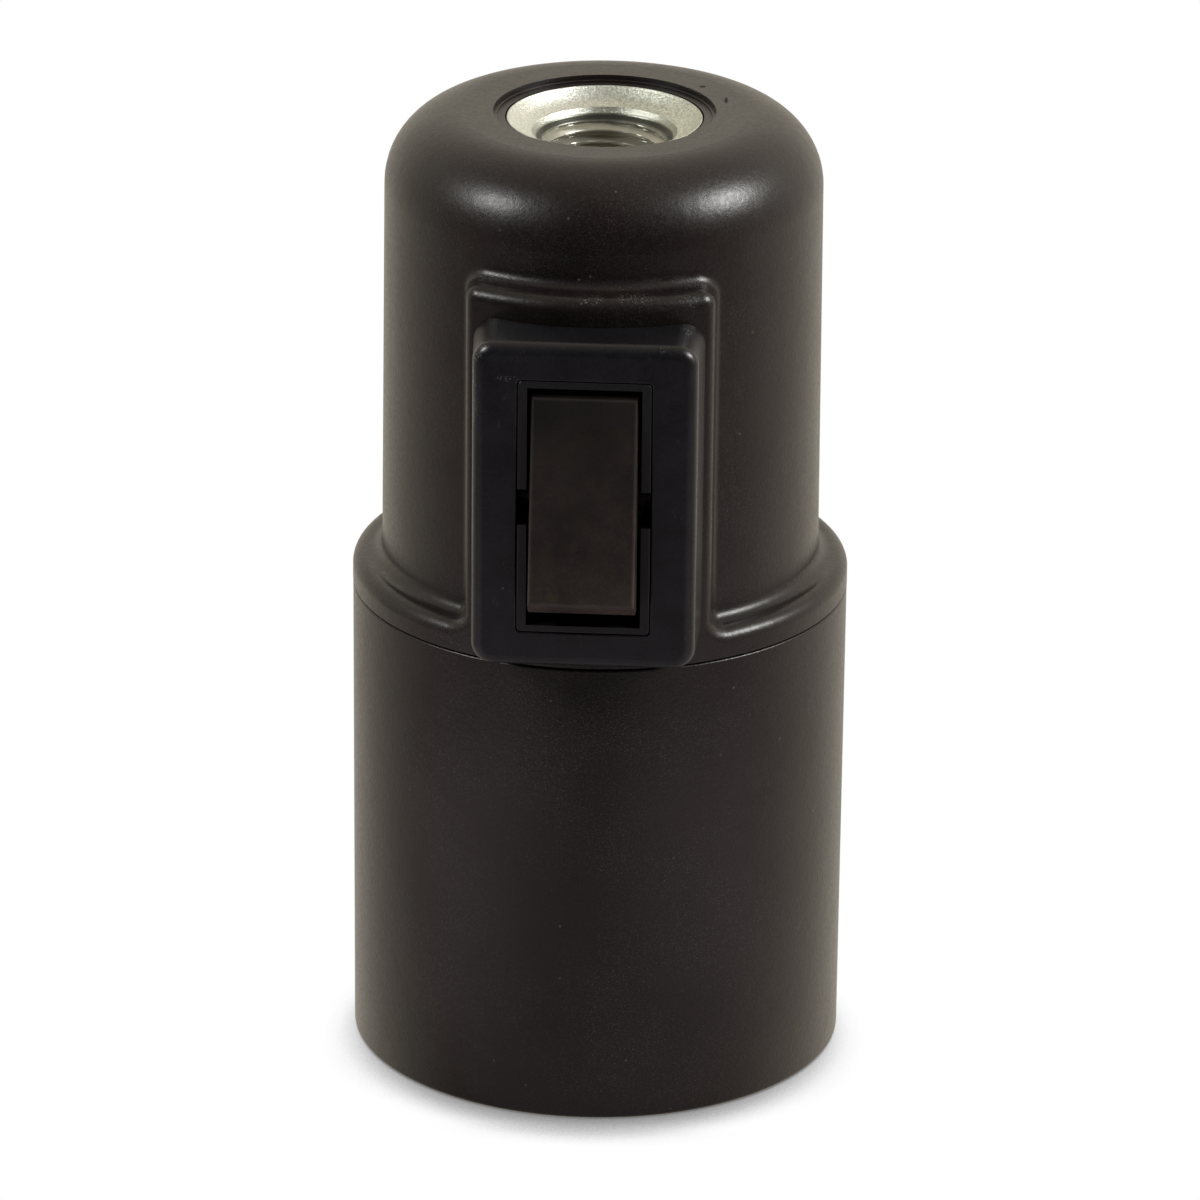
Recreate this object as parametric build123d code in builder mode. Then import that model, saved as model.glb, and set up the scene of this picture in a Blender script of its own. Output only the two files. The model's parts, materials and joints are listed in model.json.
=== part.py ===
import math
import os

from build123d import *

os.makedirs("parts", exist_ok=True)

# A lamp holder in moulded thermoset: a domed cap with a rocker switch, and a plain skirt that screws onto it.
# Millimetres, +Z up. The origin is the centre of the skirt's rim, and the switch faces -Y.

# Outside of the skirt and the cap
skirt_height = 39.35
skirt_draft = 0.1
skirt_wall = 2.6
rim_round = 0.4
seam_gap = 0.15
flange_radius = 20.1
flange_overhang = 0.02
flange_height = 2.3
cap_height = 39.9
shoulder_width = 2.38
cap_draft = 0.16
cap_wall = 2.1
dome_radius = 6.0
edge_round = 1.1
edge_fillet = 1.0

# Inside of the skirt: the mouth, the ledge that carries the core and the thread on the cap's spigot
mouth_wall = 2.28
mouth_depth = 8.0
body_wall = 2.88
ledge_thickness = 2.5
ledge_width = 2.6
spigot_length = 6.5
thread_clearance = 0.3

# Raised pad on the cap and the bezel in front of it
pad_half_width = 9.8
pad_height = 31.1
pad_corner = 1.2
switch_height = 15.1
bezel_side_border = 3.5
bezel_end_border = 2.95
bezel_depth = 3.75
bezel_flare = 3.0
bezel_corner = 1.7
bezel_round = 0.95
window_round = 0.12
bezel_seat = 0.03
collar_wall = 1.05
collar_clearance = 0.1
clip_thickness = 0.7
clip_half_width = 8.5
clip_rim = 2.0
clip_seat_gap = 0.05
clip_groove_depth = 0.45
clip_groove_clearance = 0.05

# Switch body, seen flush in the bezel's window
body_side_wall = 0.75
body_end_wall = 0.575
body_depth = 13.35
body_corner = 0.4
body_clearance = 0.05
floor_thickness = 1.5
barb_height = 0.4
barb_length = 1.4
barb_width = 6.0

# Rocker and the toggle mechanism behind it
rocker_width = 8.4
rocker_side_gap = 0.3
rocker_reach = 5.75
rocker_sweep = 10.0
rocker_end_trim = 0.9
rocker_end_gap = 0.23
rocker_back = 1.0
rocker_skin = 1.2
rocker_round = 0.35
rocker_tilt = 11.0
pivot_depth = 4.05
trunnion_radius = 1.42
pivot_clearance = 0.075
stem_radius = 1.95
stem_length = 3.0
plunger_radius = 1.2
plunger_clearance = 0.08
plunger_length = 4.1
plunger_reach = 4.2
plunger_travel = 0.4
plunger_spring_wire = 0.15
plunger_spring_turns = 4
lever_gap = 0.1
lever_thickness = 0.5
lever_length = 12.4
lever_width = 6.0
lever_tilt = 4.5
lever_bearing = 0.05
lever_set_back = 0.07
lever_point_radius = 1.0
lever_point_height = 0.3
contact_reach = 5.2

# Strips, screws and wire
strip_thickness = 0.8
strip_width = 5.0
blade_width = 4.0
blade_gap = 0.2
blade_offset = 1.1
bend_radius = 1.2
slot_clearance = 0.05
supply_length = 5.6
terminal_screw_radius = 1.5
terminal_head_radius = 2.6
terminal_head_height = 1.8
slot_width = 0.6
slot_depth = 0.7

# Tube entry at the top
recess_radius = 8.9
recess_depth = 0.5
bush_rim_radius = 7.85
bush_flange_height = 3.2
bush_radius = 6.9
bush_length = 12.0
bush_clearance = 0.1
throat_radius = 5.87
throat_depth = 1.15
step_radius = 5.45
step_depth = 1.7
thread_depth = 2.5
tube_thread_radius = 4.46
boss_radius = 10.2
boss_bottom_depth = 6.2
nut_across_flats = 17.0
nut_thickness = 3.0
nut_clearance = 0.05
lock_screw_radius = 1.5
lock_screw_length = 5.5
lock_screw_height = 1.6

# Core, screw shell and centre contact
core_flange_thickness = 3.0
core_height = 7.0
core_clearance = 0.3
key_width = 2.0
key_depth = 0.9
key_clearance = 0.2
shell_length = 21.5
shell_thread_length = 18.5
shell_radius = 12.25
shell_wall = 0.5
shell_floor_radius = 10.8
shell_hole_radius = 6.0
rivet_offset = 8.6
rivet_radius = 1.25
rivet_head_radius = 1.7
rivet_head_height = 0.6
hole_clearance = 0.05
contact_radius = 2.5
contact_protrusion = 2.0
contact_flange_radius = 4.0
contact_flange_height = 1.0
contact_stem_radius = 1.3
contact_stem_length = 2.2
contact_tip_radius = 1.2
contact_clearance = 0.08
well_radius = 4.2
well_floor = 2.0
spring_radius = 3.2
spring_wire_radius = 0.3
spring_turns = 3
spring_wire_sides = 4
strap_half_width = 4.6
strap_front = 8.0
strap_back = 9.4
strap_corner = 1.0
strap_screw_offset = 2.5
strap_screw_place = 6.9
strap_screw_radius = 1.0
strap_head_radius = 1.9
strap_head_height = 1.3
strap_screw_length = 4.0
shell_terminal_size = (5.8, 10.2)
shell_terminal_centre = (9.3, 2.5)
shell_screw_place = (9.3, 5.0)
shell_screw_length = 4.3

# Places worked out from the sizes above
skirt_radius = flange_radius - flange_overhang
mouth_radius = skirt_radius - mouth_wall
skirt_inner_radius = skirt_radius - body_wall
ledge_radius = skirt_inner_radius - ledge_width
flange_z = skirt_height + seam_gap
flange_top = flange_z + flange_height
cap_top = flange_z + cap_height
wall_radius = flange_radius - shoulder_width
wall_top_radius = wall_radius - cap_draft
dome_centre_radius = wall_top_radius - dome_radius
dome_centre_z = cap_top - dome_radius
cap_bore_radius = wall_top_radius - cap_wall
pad_top = flange_z + pad_height
spigot_end = flange_z - spigot_length
skirt_thread_radius = skirt_radius - skirt_wall
spigot_radius = skirt_thread_radius - thread_clearance
core_seat = spigot_end - core_flange_thickness
deck_z = core_seat + core_height
deck_radius = cap_bore_radius - core_clearance
strip_top = deck_z + strip_thickness
switch_z = flange_z + switch_height
cavity_width = rocker_width + 2 * rocker_side_gap
rocker_half_length = rocker_sweep - rocker_end_trim
rocker_corner_angle = math.asin(rocker_half_length / rocker_sweep) + math.radians(rocker_tilt)
cavity_height = 2 * (rocker_sweep * math.sin(rocker_corner_angle) + rocker_end_gap)
body_width = cavity_width + 2 * body_side_wall
body_height = cavity_height + 2 * body_end_wall
face_y = -(flange_radius + bezel_depth)
body_back = face_y + body_depth
floor_y = body_back - floor_thickness
pivot_y = face_y + pivot_depth
window_width = body_width + 2 * body_clearance
window_height = body_height + 2 * body_clearance
bezel_width = window_width + 2 * bezel_side_border
bezel_height = window_height + 2 * bezel_end_border
collar_width = window_width + 2 * collar_wall
collar_height = window_height + 2 * collar_wall
slot_radius = trunnion_radius + pivot_clearance
barb_y = pivot_y + slot_radius + barb_length
rim_z = cap_top - recess_depth
bush_seat = rim_z - bush_flange_height
lock_z = rim_z - bush_length + lock_screw_height
boss_bottom = cap_top - boss_bottom_depth
ceiling_z = cap_top - cap_wall
well_z = core_seat + well_floor

# The rocker's own plane: its first axis points out of the front face, its second up along the face
tilt = math.radians(rocker_tilt)
rocker_front = Vector(0, -math.cos(tilt), math.sin(tilt))
rocker_plane = Plane(origin=(0, pivot_y, switch_z), x_dir=rocker_front, z_dir=(-1, 0, 0))

# The lever swings on the supply contact's rounded nose
nose_radius = strip_thickness / 2
arch_inner_radius = nose_radius + lever_bearing
arch_outer_radius = arch_inner_radius + lever_thickness
lever_y = pivot_y + plunger_reach + lever_gap + arch_outer_radius
lever_back = lever_thickness / 2 + lever_set_back
lever_angle = math.radians(lever_tilt)
lever_front = Vector(0, -math.cos(lever_angle), -math.sin(lever_angle))
lever_plane = Plane(origin=(0, lever_y, switch_z), x_dir=lever_front, z_dir=(-1, 0, 0))

# The clip bears on the cap's inner wall at its two edges
clip_y = -math.sqrt((cap_bore_radius - clip_seat_gap) ** 2 - clip_half_width**2)
collar_end = clip_y + 2 * clip_thickness
groove_half = collar_width / 2 - clip_groove_depth


def front_plane(y):
    """Plane across the switch at a depth y, looking into the holder: X to the right and local Y downwards."""
    return Plane(origin=(0, y, switch_z), x_dir=(1, 0, 0), z_dir=(0, 1, 0))


def slot_head(top, radius, place=(0, 0)):
    """Cuts a screwdriver slot across an upright screw's head."""
    with Locations((place[0], place[1], top - slot_depth / 2)):
        Box(2 * radius, slot_width, slot_depth, mode=Mode.SUBTRACT)


# Cap: the raised pad that carries the switch is made first, as a prism trimmed by the flange's cylinder
with BuildPart() as pad:
    with BuildSketch(Plane.XZ) as pad_face:
        with Locations((0, flange_z + pad_height / 2)):
            Rectangle(2 * pad_half_width, pad_height)
        fillet(pad_face.vertices().group_by(Axis.Y)[-1], pad_corner)
    extrude(amount=flange_radius + edge_round)
    with Locations((0, 0, flange_z)):
        Cylinder(
            flange_radius,
            cap_height,
            align=(Align.CENTER, Align.CENTER, Align.MIN),
            mode=Mode.INTERSECT,
        )


def rises_on_wall(edge):
    """True for a sharp inner corner between the cap's wall and its flange or pad."""
    middle = edge @ 0.5
    reach = math.hypot(middle.X, middle.Y)
    beside_wall = wall_top_radius - edge_round < reach < wall_radius + cap_draft
    return beside_wall and flange_top - rim_round < middle.Z < pad_top + edge_round


def crosses_flange(edge):
    """True for the two short inner corners where the pad's sides stand on the flange."""
    middle = edge @ 0.5
    beside_pad = abs(abs(middle.X) - pad_half_width) < rim_round
    return edge.geom_type == GeomType.LINE and beside_pad and abs(middle.Z - flange_top) < rim_round


def lies_outside(edge):
    """True for the outer edge that runs round the flange and up over the pad."""
    middle = edge @ 0.5
    reach = math.hypot(middle.X, middle.Y)
    return abs(reach - flange_radius) < edge_round / 4 and middle.Z > flange_top - rim_round


with BuildPart() as cap:
    with BuildSketch(Plane.XZ) as cap_outline:
        with BuildLine():
            Polyline(
                (0, spigot_end),
                (spigot_radius, spigot_end),
                (spigot_radius, flange_z),
                (flange_radius, flange_z),
                (flange_radius, flange_top),
                (wall_radius, flange_top),
                (wall_top_radius, dome_centre_z),
            )
            CenterArc((dome_centre_radius, dome_centre_z), dome_radius, 0, 90)
            Polyline((dome_centre_radius, cap_top), (0, cap_top), (0, spigot_end))
        make_face()
    revolve(axis=Axis.Z)
    add(pad.part)
    fillet(cap.edges().filter_by(rises_on_wall) + cap.edges().filter_by(crosses_flange), edge_fillet)
    fillet(cap.edges().filter_by(lies_outside), edge_round)
    with BuildSketch(Plane.XZ) as cap_inside:
        with BuildLine():
            Polyline(
                (0, spigot_end),
                (cap_bore_radius, spigot_end),
                (cap_bore_radius, dome_centre_z),
            )
            CenterArc((dome_centre_radius, dome_centre_z), dome_radius - cap_wall, 0, 90)
            Polyline(
                (dome_centre_radius, ceiling_z),
                (boss_radius, ceiling_z),
                (boss_radius, boss_bottom),
                (0, boss_bottom),
                (0, spigot_end),
            )
        make_face()
    revolve(axis=Axis.Z, mode=Mode.SUBTRACT)
    with Locations((0, 0, cap_top)):
        CounterBoreHole(bush_radius + bush_clearance, recess_radius, recess_depth)
    with Locations((0, 0, rim_z)):
        CounterBoreHole(bush_radius + bush_clearance, bush_rim_radius + bush_clearance, bush_flange_height)
    with BuildSketch(front_plane(face_y)):
        Rectangle(collar_width + 2 * collar_clearance, collar_height + 2 * collar_clearance)
    extrude(amount=body_depth, mode=Mode.SUBTRACT)
    with Locations((0, cap_bore_radius - key_depth / 2 + rim_round / 2, spigot_end)):
        Box(
            key_width,
            key_depth + rim_round,
            spigot_length,
            align=(Align.CENTER, Align.CENTER, Align.MIN),
        )
cap.part.label = "cap"
export_step(cap.part, "parts/cap.step")

# Skirt: a plain tube with a mouth, a ledge inside that carries the core, and the thread's bore above it
with BuildPart() as skirt:
    with BuildSketch(Plane.XZ) as skirt_wall_profile:
        with BuildLine():
            Polyline(
                (mouth_radius, 0),
                (skirt_radius - skirt_draft, 0),
                (skirt_radius, skirt_height),
                (skirt_thread_radius, skirt_height),
                (skirt_thread_radius, core_seat),
                (ledge_radius, core_seat),
                (ledge_radius, core_seat - ledge_thickness),
                (skirt_inner_radius, core_seat - ledge_thickness),
                (skirt_inner_radius, mouth_depth),
                (mouth_radius, mouth_depth),
                close=True,
            )
        make_face()
        chamfer(skirt_wall_profile.vertices().sort_by(Axis.X)[-2:], rim_round)
    revolve(axis=Axis.Z)
skirt.part.label = "skirt"
export_step(skirt.part, "parts/skirt.step")

# Entry bush: a cast piece with a dished flange, threaded for the tube
with BuildPart() as entry_bush:
    with BuildSketch(Plane.XZ) as bush_profile:
        with BuildLine():
            Polyline(
                (bush_rim_radius, rim_z),
                (bush_rim_radius, bush_seat),
                (bush_radius, bush_seat),
                (bush_radius, rim_z - bush_length),
                (tube_thread_radius, rim_z - bush_length),
                (tube_thread_radius, rim_z - thread_depth),
                (step_radius, rim_z - step_depth),
                (throat_radius, rim_z - throat_depth),
            )
            RadiusArc((throat_radius, rim_z - throat_depth), (bush_rim_radius, rim_z), -2 * throat_radius)
        make_face()
    revolve(axis=Axis.Z)
    with BuildSketch(Plane.XZ) as lock_hole:
        with Locations((0, lock_z)):
            Circle(lock_screw_radius + hole_clearance)
    extrude(amount=-2 * bush_radius, mode=Mode.SUBTRACT)
entry_bush.part.label = "entry_bush"
export_step(entry_bush.part, "parts/entry_bush.step")

# Hexagon nut that draws the bush down against the boss inside the dome
with BuildPart() as bush_nut:
    with BuildSketch(Plane.XY.offset(boss_bottom - nut_thickness)):
        RegularPolygon(nut_across_flats / 2, 6, major_radius=False)
        Circle(bush_radius + nut_clearance, mode=Mode.SUBTRACT)
    extrude(amount=nut_thickness)
bush_nut.part.label = "bush_nut"
export_step(bush_nut.part, "parts/bush_nut.step")

# Grub screw that locks the tube in the bush, reached from inside the cap before the holder is closed
lock_tip = tube_thread_radius + lock_screw_radius / 2
with BuildPart() as tube_lock_screw:
    with BuildSketch(Plane.XZ.offset(-lock_tip)) as lock_section:
        with Locations((0, lock_z)):
            Circle(lock_screw_radius)
    extrude(amount=-lock_screw_length)
    with Locations((0, lock_tip + lock_screw_length - slot_depth / 2, lock_z)):
        Box(2 * lock_screw_radius, slot_depth, slot_width, mode=Mode.SUBTRACT)
tube_lock_screw.part.label = "tube_lock_screw"
export_step(tube_lock_screw.part, "parts/tube_lock_screw.step")


def frames_window(edge):
    """True for the edges of the bezel's window, and not for its outer edges."""
    middle = edge @ 0.5
    return abs(middle.X) < collar_width / 2 and abs(middle.Z - switch_z) < collar_height / 2


# Bezel: a flared block hugging the pad, with a collar that passes through the cap's wall
with BuildPart() as switch_bezel:
    with BuildSketch(front_plane(face_y)):
        RectangleRounded(bezel_width, bezel_height, bezel_corner)
    extrude(amount=2 * bezel_depth, taper=-bezel_flare)
    fillet(switch_bezel.faces().sort_by(Axis.Y)[0].edges(), bezel_round)
    with Locations((0, 0, switch_z)):
        Cylinder(flange_radius + bezel_seat, 2 * bezel_height, mode=Mode.SUBTRACT)
    with BuildSketch(front_plane(face_y + bezel_depth / 2)):
        Rectangle(collar_width, collar_height)
    extrude(amount=collar_end - face_y - bezel_depth / 2)
    with BuildSketch(front_plane(face_y)):
        RectangleRounded(window_width, window_height, body_corner)
    extrude(amount=body_depth, mode=Mode.SUBTRACT)
    fillet(switch_bezel.edges().group_by(Axis.Y)[0].filter_by(frames_window), window_round)
    with Locations((0, barb_y + barb_length / 2, switch_z)):
        Box(
            window_width + 2 * (barb_height + body_clearance),
            barb_length + 2 * body_clearance,
            barb_width + 2 * body_clearance,
            mode=Mode.SUBTRACT,
        )
    for side in (-1, 1):
        with Locations((side * (groove_half + clip_groove_depth), clip_y + clip_thickness / 2, switch_z)):
            Box(
                2 * clip_groove_depth,
                clip_thickness + 2 * clip_groove_clearance,
                collar_height,
                mode=Mode.SUBTRACT,
            )
switch_bezel.part.label = "switch_bezel"
export_step(switch_bezel.part, "parts/switch_bezel.step")

# Clip: a sheet-steel fork pushed down over the collar's grooves, which holds the bezel to the cap
with BuildPart() as switch_clip:
    with BuildSketch(front_plane(clip_y)):
        Rectangle(2 * clip_half_width, collar_height + 2 * clip_rim)
        with Locations((0, clip_rim)):
            Rectangle(
                2 * (groove_half + clip_groove_clearance),
                collar_height + 2 * clip_rim,
                mode=Mode.SUBTRACT,
            )
    extrude(amount=clip_thickness)
    with BuildSketch(front_plane(clip_y)):
        with Locations((0, clip_groove_clearance)):
            Rectangle(collar_width, collar_height + 2 * clip_groove_clearance)
        Rectangle(2 * (groove_half + clip_groove_clearance), 2 * collar_height, mode=Mode.INTERSECT)
    extrude(amount=clip_thickness, mode=Mode.SUBTRACT)
switch_clip.part.label = "switch_clip"
export_step(switch_clip.part, "parts/switch_clip.step")

# Switch body: a thin-walled box open to the front, with a slot for the rocker's trunnions in each side
with BuildPart() as switch_body:
    with BuildSketch(front_plane(face_y)):
        RectangleRounded(body_width, body_height, body_corner)
    extrude(amount=body_depth)
    fillet(switch_body.faces().sort_by(Axis.Y)[0].edges(), window_round)
    with BuildSketch(front_plane(face_y)):
        Rectangle(cavity_width, cavity_height)
    extrude(amount=body_depth - floor_thickness, mode=Mode.SUBTRACT)
    with BuildSketch(Plane.YZ) as trunnion_slot:
        with Locations((pivot_y, switch_z)):
            Circle(slot_radius)
        with Locations(((face_y + pivot_y) / 2, switch_z)):
            Rectangle(pivot_depth, 2 * slot_radius)
    extrude(amount=body_width, both=True, mode=Mode.SUBTRACT)
    with Locations((0, floor_y + floor_thickness / 2, switch_z)):
        Box(
            strip_width + 2 * slot_clearance,
            2 * floor_thickness,
            strip_thickness + 2 * slot_clearance,
            mode=Mode.SUBTRACT,
        )
    with Locations((0, floor_y + floor_thickness / 2, switch_z - contact_reach)):
        Box(
            blade_width + 2 * slot_clearance,
            2 * floor_thickness,
            strip_thickness + 2 * slot_clearance,
            mode=Mode.SUBTRACT,
        )
    for side in (-1, 1):
        with Locations((side * body_width / 2, barb_y + barb_length / 2, switch_z)):
            Box(2 * barb_height, barb_length, barb_width)
        with Locations((side * cavity_width / 2, barb_y + barb_length / 2, switch_z)):
            Box(2 * barb_height, barb_length, barb_width, mode=Mode.SUBTRACT)
switch_body.part.label = "switch_body"
export_step(switch_body.part, "parts/switch_body.step")

# Rocker: a hollow moulding that turns about its trunnions, with a stem that holds the sprung plunger
with BuildPart() as rocker:
    with BuildSketch(rocker_plane):
        Circle(rocker_sweep)
        with Locations(((rocker_back + rocker_reach) / 2, 0)):
            Rectangle(rocker_reach - rocker_back, 2 * rocker_half_length, mode=Mode.INTERSECT)
    extrude(amount=rocker_width / 2, both=True)
    front_axis = Axis(origin=(0, pivot_y, switch_z), direction=tuple(rocker_front))
    fillet(rocker.faces().sort_by(front_axis)[-1].edges(), rocker_round)
    with BuildSketch(rocker_plane):
        Circle(rocker_sweep - rocker_skin)
        with Locations(((rocker_back + rocker_reach - rocker_skin) / 2 - rocker_skin, 0)):
            Rectangle(
                rocker_reach - rocker_back + rocker_skin,
                2 * (rocker_half_length - rocker_skin),
                mode=Mode.INTERSECT,
            )
        Rectangle(2 * rocker_reach, 2 * stem_radius, mode=Mode.SUBTRACT)
    extrude(amount=rocker_width / 2 - rocker_skin, both=True, mode=Mode.SUBTRACT)
    with BuildSketch(rocker_plane):
        Circle(trunnion_radius)
    extrude(amount=body_width / 2 - body_clearance, both=True)
    stem_plane = Plane(origin=rocker_plane.from_local_coords((rocker_back, 0)), z_dir=-rocker_front)
    with BuildSketch(stem_plane):
        Circle(stem_radius)
    extrude(amount=stem_length + rocker_back)
    bore_plane = Plane(origin=rocker_plane.from_local_coords((-stem_length, 0)), z_dir=rocker_front)
    with BuildSketch(bore_plane):
        Circle(plunger_radius + plunger_clearance)
    extrude(amount=stem_length + rocker_reach / 2, mode=Mode.SUBTRACT)
rocker.part.label = "rocker"
export_step(rocker.part, "parts/rocker.step")

# Plunger: a round-nosed pin in the rocker's stem
with BuildPart() as plunger:
    with BuildSketch(rocker_plane) as plunger_profile:
        with BuildLine():
            Polyline(
                (-plunger_reach + plunger_radius, plunger_radius),
                (-plunger_reach + plunger_length, plunger_radius),
                (-plunger_reach + plunger_length, 0),
                (-plunger_reach, 0),
            )
            CenterArc((-plunger_reach + plunger_radius, 0), plunger_radius, 90, 90)
        make_face()
    revolve(axis=Axis(origin=(0, pivot_y, switch_z), direction=tuple(rocker_front)))
plunger.part.label = "plunger"
export_step(plunger.part, "parts/plunger.step")

# Plunger spring, drawn as it is when the plunger is pushed fully in
plunger_spring_start = -plunger_reach + plunger_length + plunger_travel + plunger_spring_wire
plunger_spring_end = rocker_reach / 2 - plunger_spring_wire
plunger_spring_length = plunger_spring_end - plunger_spring_start
with BuildPart() as plunger_spring:
    with BuildLine() as plunger_coil:
        Helix(
            plunger_spring_length / plunger_spring_turns,
            plunger_spring_length,
            plunger_radius - 2 * plunger_spring_wire,
            center=rocker_plane.from_local_coords((plunger_spring_start, 0)),
            direction=tuple(rocker_front),
        )
    with BuildSketch(Plane(origin=plunger_coil.line @ 0, z_dir=plunger_coil.line % 0)):
        RegularPolygon(plunger_spring_wire, spring_wire_sides)
    sweep(is_frenet=True)
plunger_spring.part.label = "plunger_spring"
export_step(plunger_spring.part, "parts/plunger_spring.step")

# Contact lever: a seesaw strip bent round the nose it swings on, with a contact point at its lower end.
# Its two arms lie a little behind the axis, which balances the arch.
with BuildPart() as contact_lever:
    with BuildSketch(lever_plane):
        Circle(arch_outer_radius)
        with Locations((-arch_outer_radius, 0)):
            Rectangle(2 * arch_outer_radius, 2 * arch_outer_radius, mode=Mode.SUBTRACT)
        with Locations((-lever_set_back, 0)):
            Rectangle(lever_thickness, lever_length)
        Circle(arch_inner_radius, mode=Mode.SUBTRACT)
        with Locations((-arch_outer_radius, 0)):
            Rectangle(2 * arch_outer_radius, 2 * arch_inner_radius, mode=Mode.SUBTRACT)
    extrude(amount=lever_width / 2, both=True)
    point_origin = lever_plane.from_local_coords((-lever_back, -contact_reach))
    with BuildSketch(Plane(origin=point_origin, z_dir=-lever_front)):
        Circle(lever_point_radius)
    extrude(amount=lever_point_height)
contact_lever.part.label = "contact_lever"
export_step(contact_lever.part, "parts/contact_lever.step")

# Supply contact: a strip through the body's floor, whose rounded nose carries the lever
supply_end = body_back + supply_length
supply_screw_y = body_back + supply_length / 2 + terminal_screw_radius / 2
with BuildPart() as supply_contact:
    with BuildSketch(Plane.YZ):
        with Locations(((lever_y + supply_end) / 2, switch_z)):
            Rectangle(supply_end - lever_y, strip_thickness)
        with Locations((lever_y, switch_z)):
            Circle(nose_radius)
    extrude(amount=strip_width / 2, both=True)
    with BuildSketch(Plane.XY.offset(switch_z - strip_thickness)):
        with Locations((0, supply_screw_y)):
            Circle(terminal_screw_radius + hole_clearance)
    extrude(amount=2 * strip_thickness, mode=Mode.SUBTRACT)
supply_contact.part.label = "supply_contact"
export_step(supply_contact.part, "parts/supply_contact.step")

# Terminal screw of the supply contact
supply_top = switch_z + strip_thickness / 2
with BuildPart() as switch_terminal_screw:
    with Locations((0, supply_screw_y, supply_top)):
        Cylinder(
            terminal_head_radius,
            terminal_head_height,
            align=(Align.CENTER, Align.CENTER, Align.MIN),
        )
        Cylinder(
            terminal_screw_radius,
            shell_screw_length,
            align=(Align.CENTER, Align.CENTER, Align.MAX),
        )
    slot_head(supply_top + terminal_head_height, terminal_head_radius, (0, supply_screw_y))
switch_terminal_screw.part.label = "switch_terminal_screw"
export_step(switch_terminal_screw.part, "parts/switch_terminal_screw.step")

# Output blade: from the lever's lower end through the body's floor, down and across to the core's strap
blade_y = body_back + blade_offset
point_swing = (contact_reach + lever_point_radius) * math.sin(lever_angle)
point_depth = (lever_back + lever_point_height) * math.cos(lever_angle)
blade_start = lever_y + point_depth + point_swing + lever_bearing
blade_foot = strip_top + blade_gap + strip_thickness / 2
with BuildPart() as output_blade:
    with BuildSketch(Plane.YZ):
        with BuildLine():
            FilletPolyline(
                (blade_start, switch_z - contact_reach),
                (blade_y, switch_z - contact_reach),
                (blade_y, blade_foot),
                (-strap_half_width, blade_foot),
                radius=bend_radius,
            )
        trace(line_width=strip_thickness)
    extrude(amount=blade_width / 2, both=True)
output_blade.part.label = "output_blade"
export_step(output_blade.part, "parts/output_blade.step")

# Core: the insulating disc that carries the screw shell below and the terminals above
rivet_places = [(-rivet_offset, 0), (rivet_offset, 0)]
strap_screw_places = [(-strap_screw_offset, strap_screw_place), (strap_screw_offset, strap_screw_place)]
with BuildPart() as core:
    with BuildSketch(Plane.XY.offset(core_seat)):
        Circle(spigot_radius)
    extrude(amount=core_flange_thickness)
    with BuildSketch(Plane.XY.offset(spigot_end)):
        Circle(deck_radius)
    extrude(amount=deck_z - spigot_end)
    with Locations((0, 0, deck_z)):
        CounterBoreHole(contact_radius + contact_clearance, well_radius, deck_z - well_z)
    with Locations(*[(x, y, deck_z) for x, y in rivet_places]):
        Hole(rivet_radius + hole_clearance)
    with Locations(*[(x, y, deck_z) for x, y in strap_screw_places]):
        Hole(strap_screw_radius + hole_clearance, strap_screw_length)
    with Locations((shell_screw_place[0], shell_screw_place[1], deck_z)):
        Hole(terminal_screw_radius + core_clearance, shell_screw_length)
    with Locations((0, cap_bore_radius, deck_z)):
        Box(
            key_width + 2 * key_clearance,
            2 * (key_depth + core_clearance),
            2 * (deck_z - spigot_end),
            mode=Mode.SUBTRACT,
        )
core.part.label = "core"
export_step(core.part, "parts/core.step")

# Screw shell: a drawn cup, open at the lamp's end, riveted up to the core
shell_mouth = core_seat - shell_length
shell_thread_end = shell_mouth + shell_thread_length
with BuildPart() as screw_shell:
    with BuildSketch(Plane.XZ):
        with BuildLine():
            Polyline(
                (shell_radius, shell_mouth),
                (shell_radius, shell_thread_end),
                (shell_floor_radius, core_seat - shell_wall),
                (shell_hole_radius, core_seat - shell_wall),
                (shell_hole_radius, core_seat),
                (shell_floor_radius + shell_wall, core_seat),
                (shell_radius + shell_wall, shell_thread_end),
                (shell_radius + shell_wall, shell_mouth),
                close=True,
            )
        make_face()
    revolve(axis=Axis.Z)
    with Locations(*[(x, y, core_seat) for x, y in rivet_places]):
        Hole(rivet_radius + hole_clearance, 2 * shell_wall)
screw_shell.part.label = "screw_shell"
export_step(screw_shell.part, "parts/screw_shell.step")

# Shell terminal: a brass plate on the core, held by one of the shell's rivets
with BuildPart() as shell_terminal:
    with BuildSketch(Plane.XY.offset(deck_z)):
        with Locations(shell_terminal_centre):
            RectangleRounded(*shell_terminal_size, strap_corner)
        with Locations(rivet_places[1]):
            Circle(rivet_radius + hole_clearance, mode=Mode.SUBTRACT)
        with Locations(shell_screw_place):
            Circle(terminal_screw_radius + hole_clearance, mode=Mode.SUBTRACT)
    extrude(amount=strip_thickness)
shell_terminal.part.label = "shell_terminal"
export_step(shell_terminal.part, "parts/shell_terminal.step")

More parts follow.
